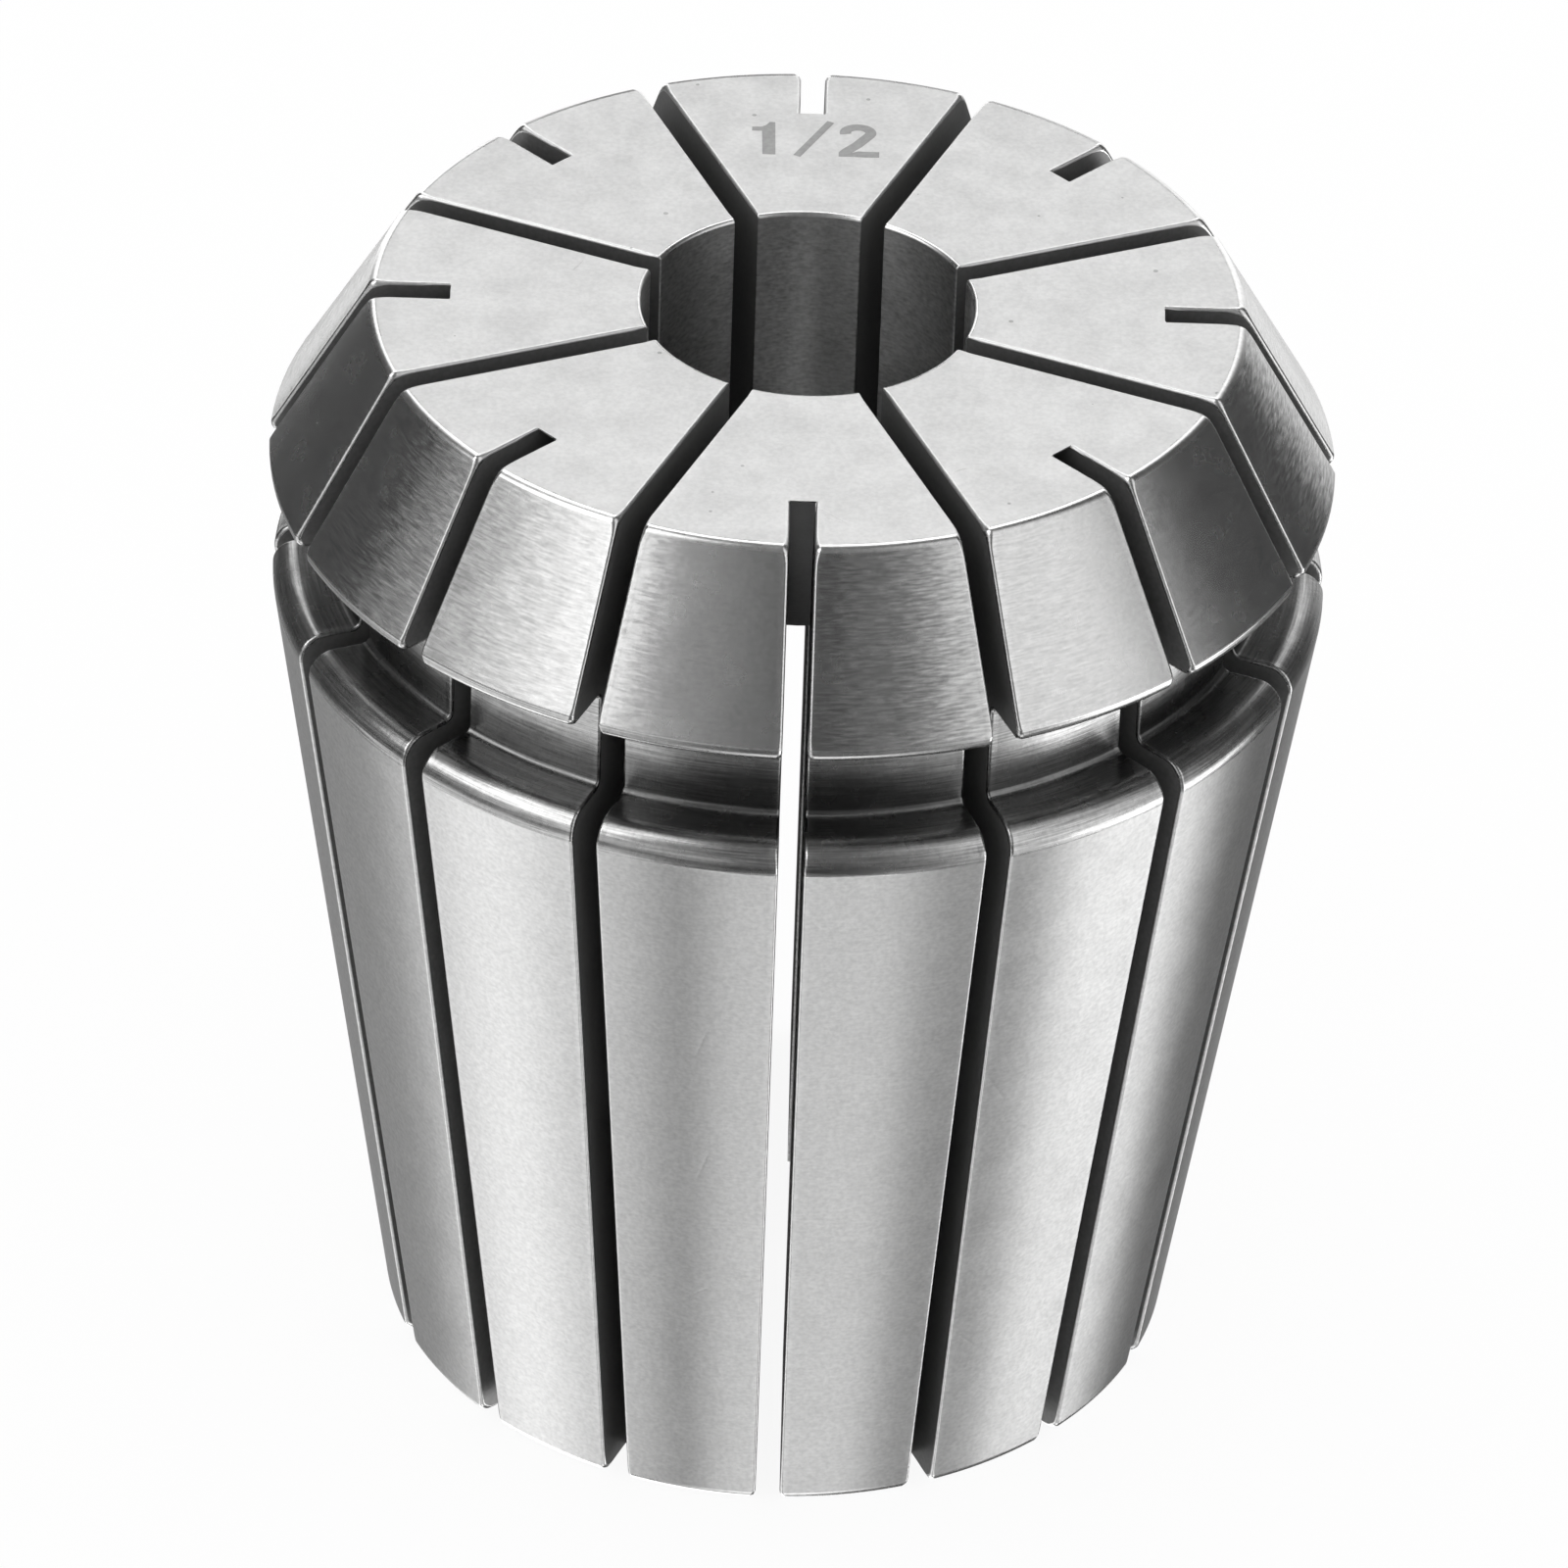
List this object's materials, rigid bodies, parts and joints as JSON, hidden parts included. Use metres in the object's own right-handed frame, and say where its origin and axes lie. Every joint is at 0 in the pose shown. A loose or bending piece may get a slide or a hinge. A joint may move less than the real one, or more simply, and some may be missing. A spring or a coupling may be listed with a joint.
{
  "type": "er collet",
  "caption": "Slit steel spring collet: a long seat taper, an extraction groove under a conical nut end, and a straight bore that closes on a tool shank.",
  "frame": {"origin": "centre of the small end face, on the bore axis", "axes": "+Z along the bore axis towards the nut end; a slit open at the small end lies at -Y"},
  "size_m": [0.041, 0.041, 0.046],
  "materials": {
    "ground_steel": "hardened steel, turned and ground to a satin grey"
  },
  "bodies": {
    "root": {"collet_body": "ground_steel"}
  },
  "joints": []
}
